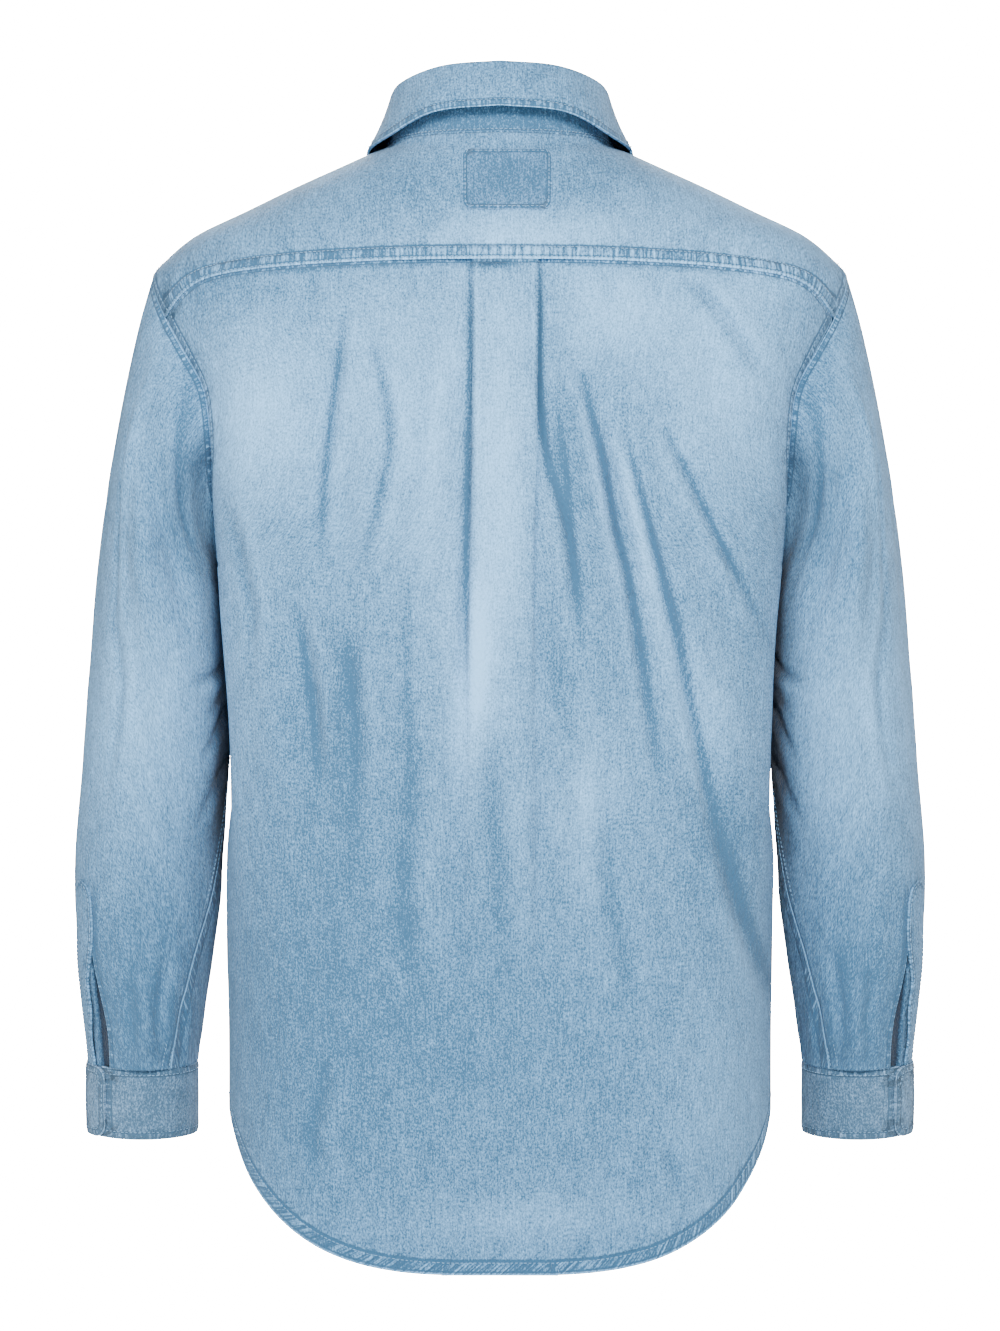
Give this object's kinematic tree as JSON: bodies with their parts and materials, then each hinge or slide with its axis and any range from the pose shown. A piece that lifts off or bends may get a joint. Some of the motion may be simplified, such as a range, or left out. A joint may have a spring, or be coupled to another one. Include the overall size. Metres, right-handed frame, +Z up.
{
  "type": "denim shirt",
  "caption": "Long-sleeved denim shirt, filled out as worn: curved tail, back yoke with a box pleat, turn-down collar, button front and overlapping cuffs.",
  "frame": {"origin": "centre of the neck opening, level with the seam of collar and yoke at the back", "axes": "+Z up, -Y the way the front faces, +X the wearer's left"},
  "size_m": [0.589, 0.2664, 0.831],
  "materials": {
    "denim": "washed light denim twill, matte",
    "dark_denim": "washed denim twill, one shade darker, matte",
    "button": "pale pearly resin"
  },
  "bodies": {
    "root": {"yoke": "denim", "back": "denim", "front_left": "denim", "front_right": "denim", "front_placket": "denim", "sleeve_left": "denim", "sleeve_right": "denim", "sleeve_placket_left": "denim", "sleeve_placket_right": "denim", "cuff_left": "dark_denim", "cuff_right": "dark_denim", "collar_stand": "denim", "collar_leaf": "denim", "yoke_patch": "dark_denim", "front_button_1": "button", "front_button_2": "button", "front_button_3": "button", "front_button_4": "button", "front_button_5": "button", "front_button_6": "button", "stand_button": "button"}
  },
  "joints": []
}
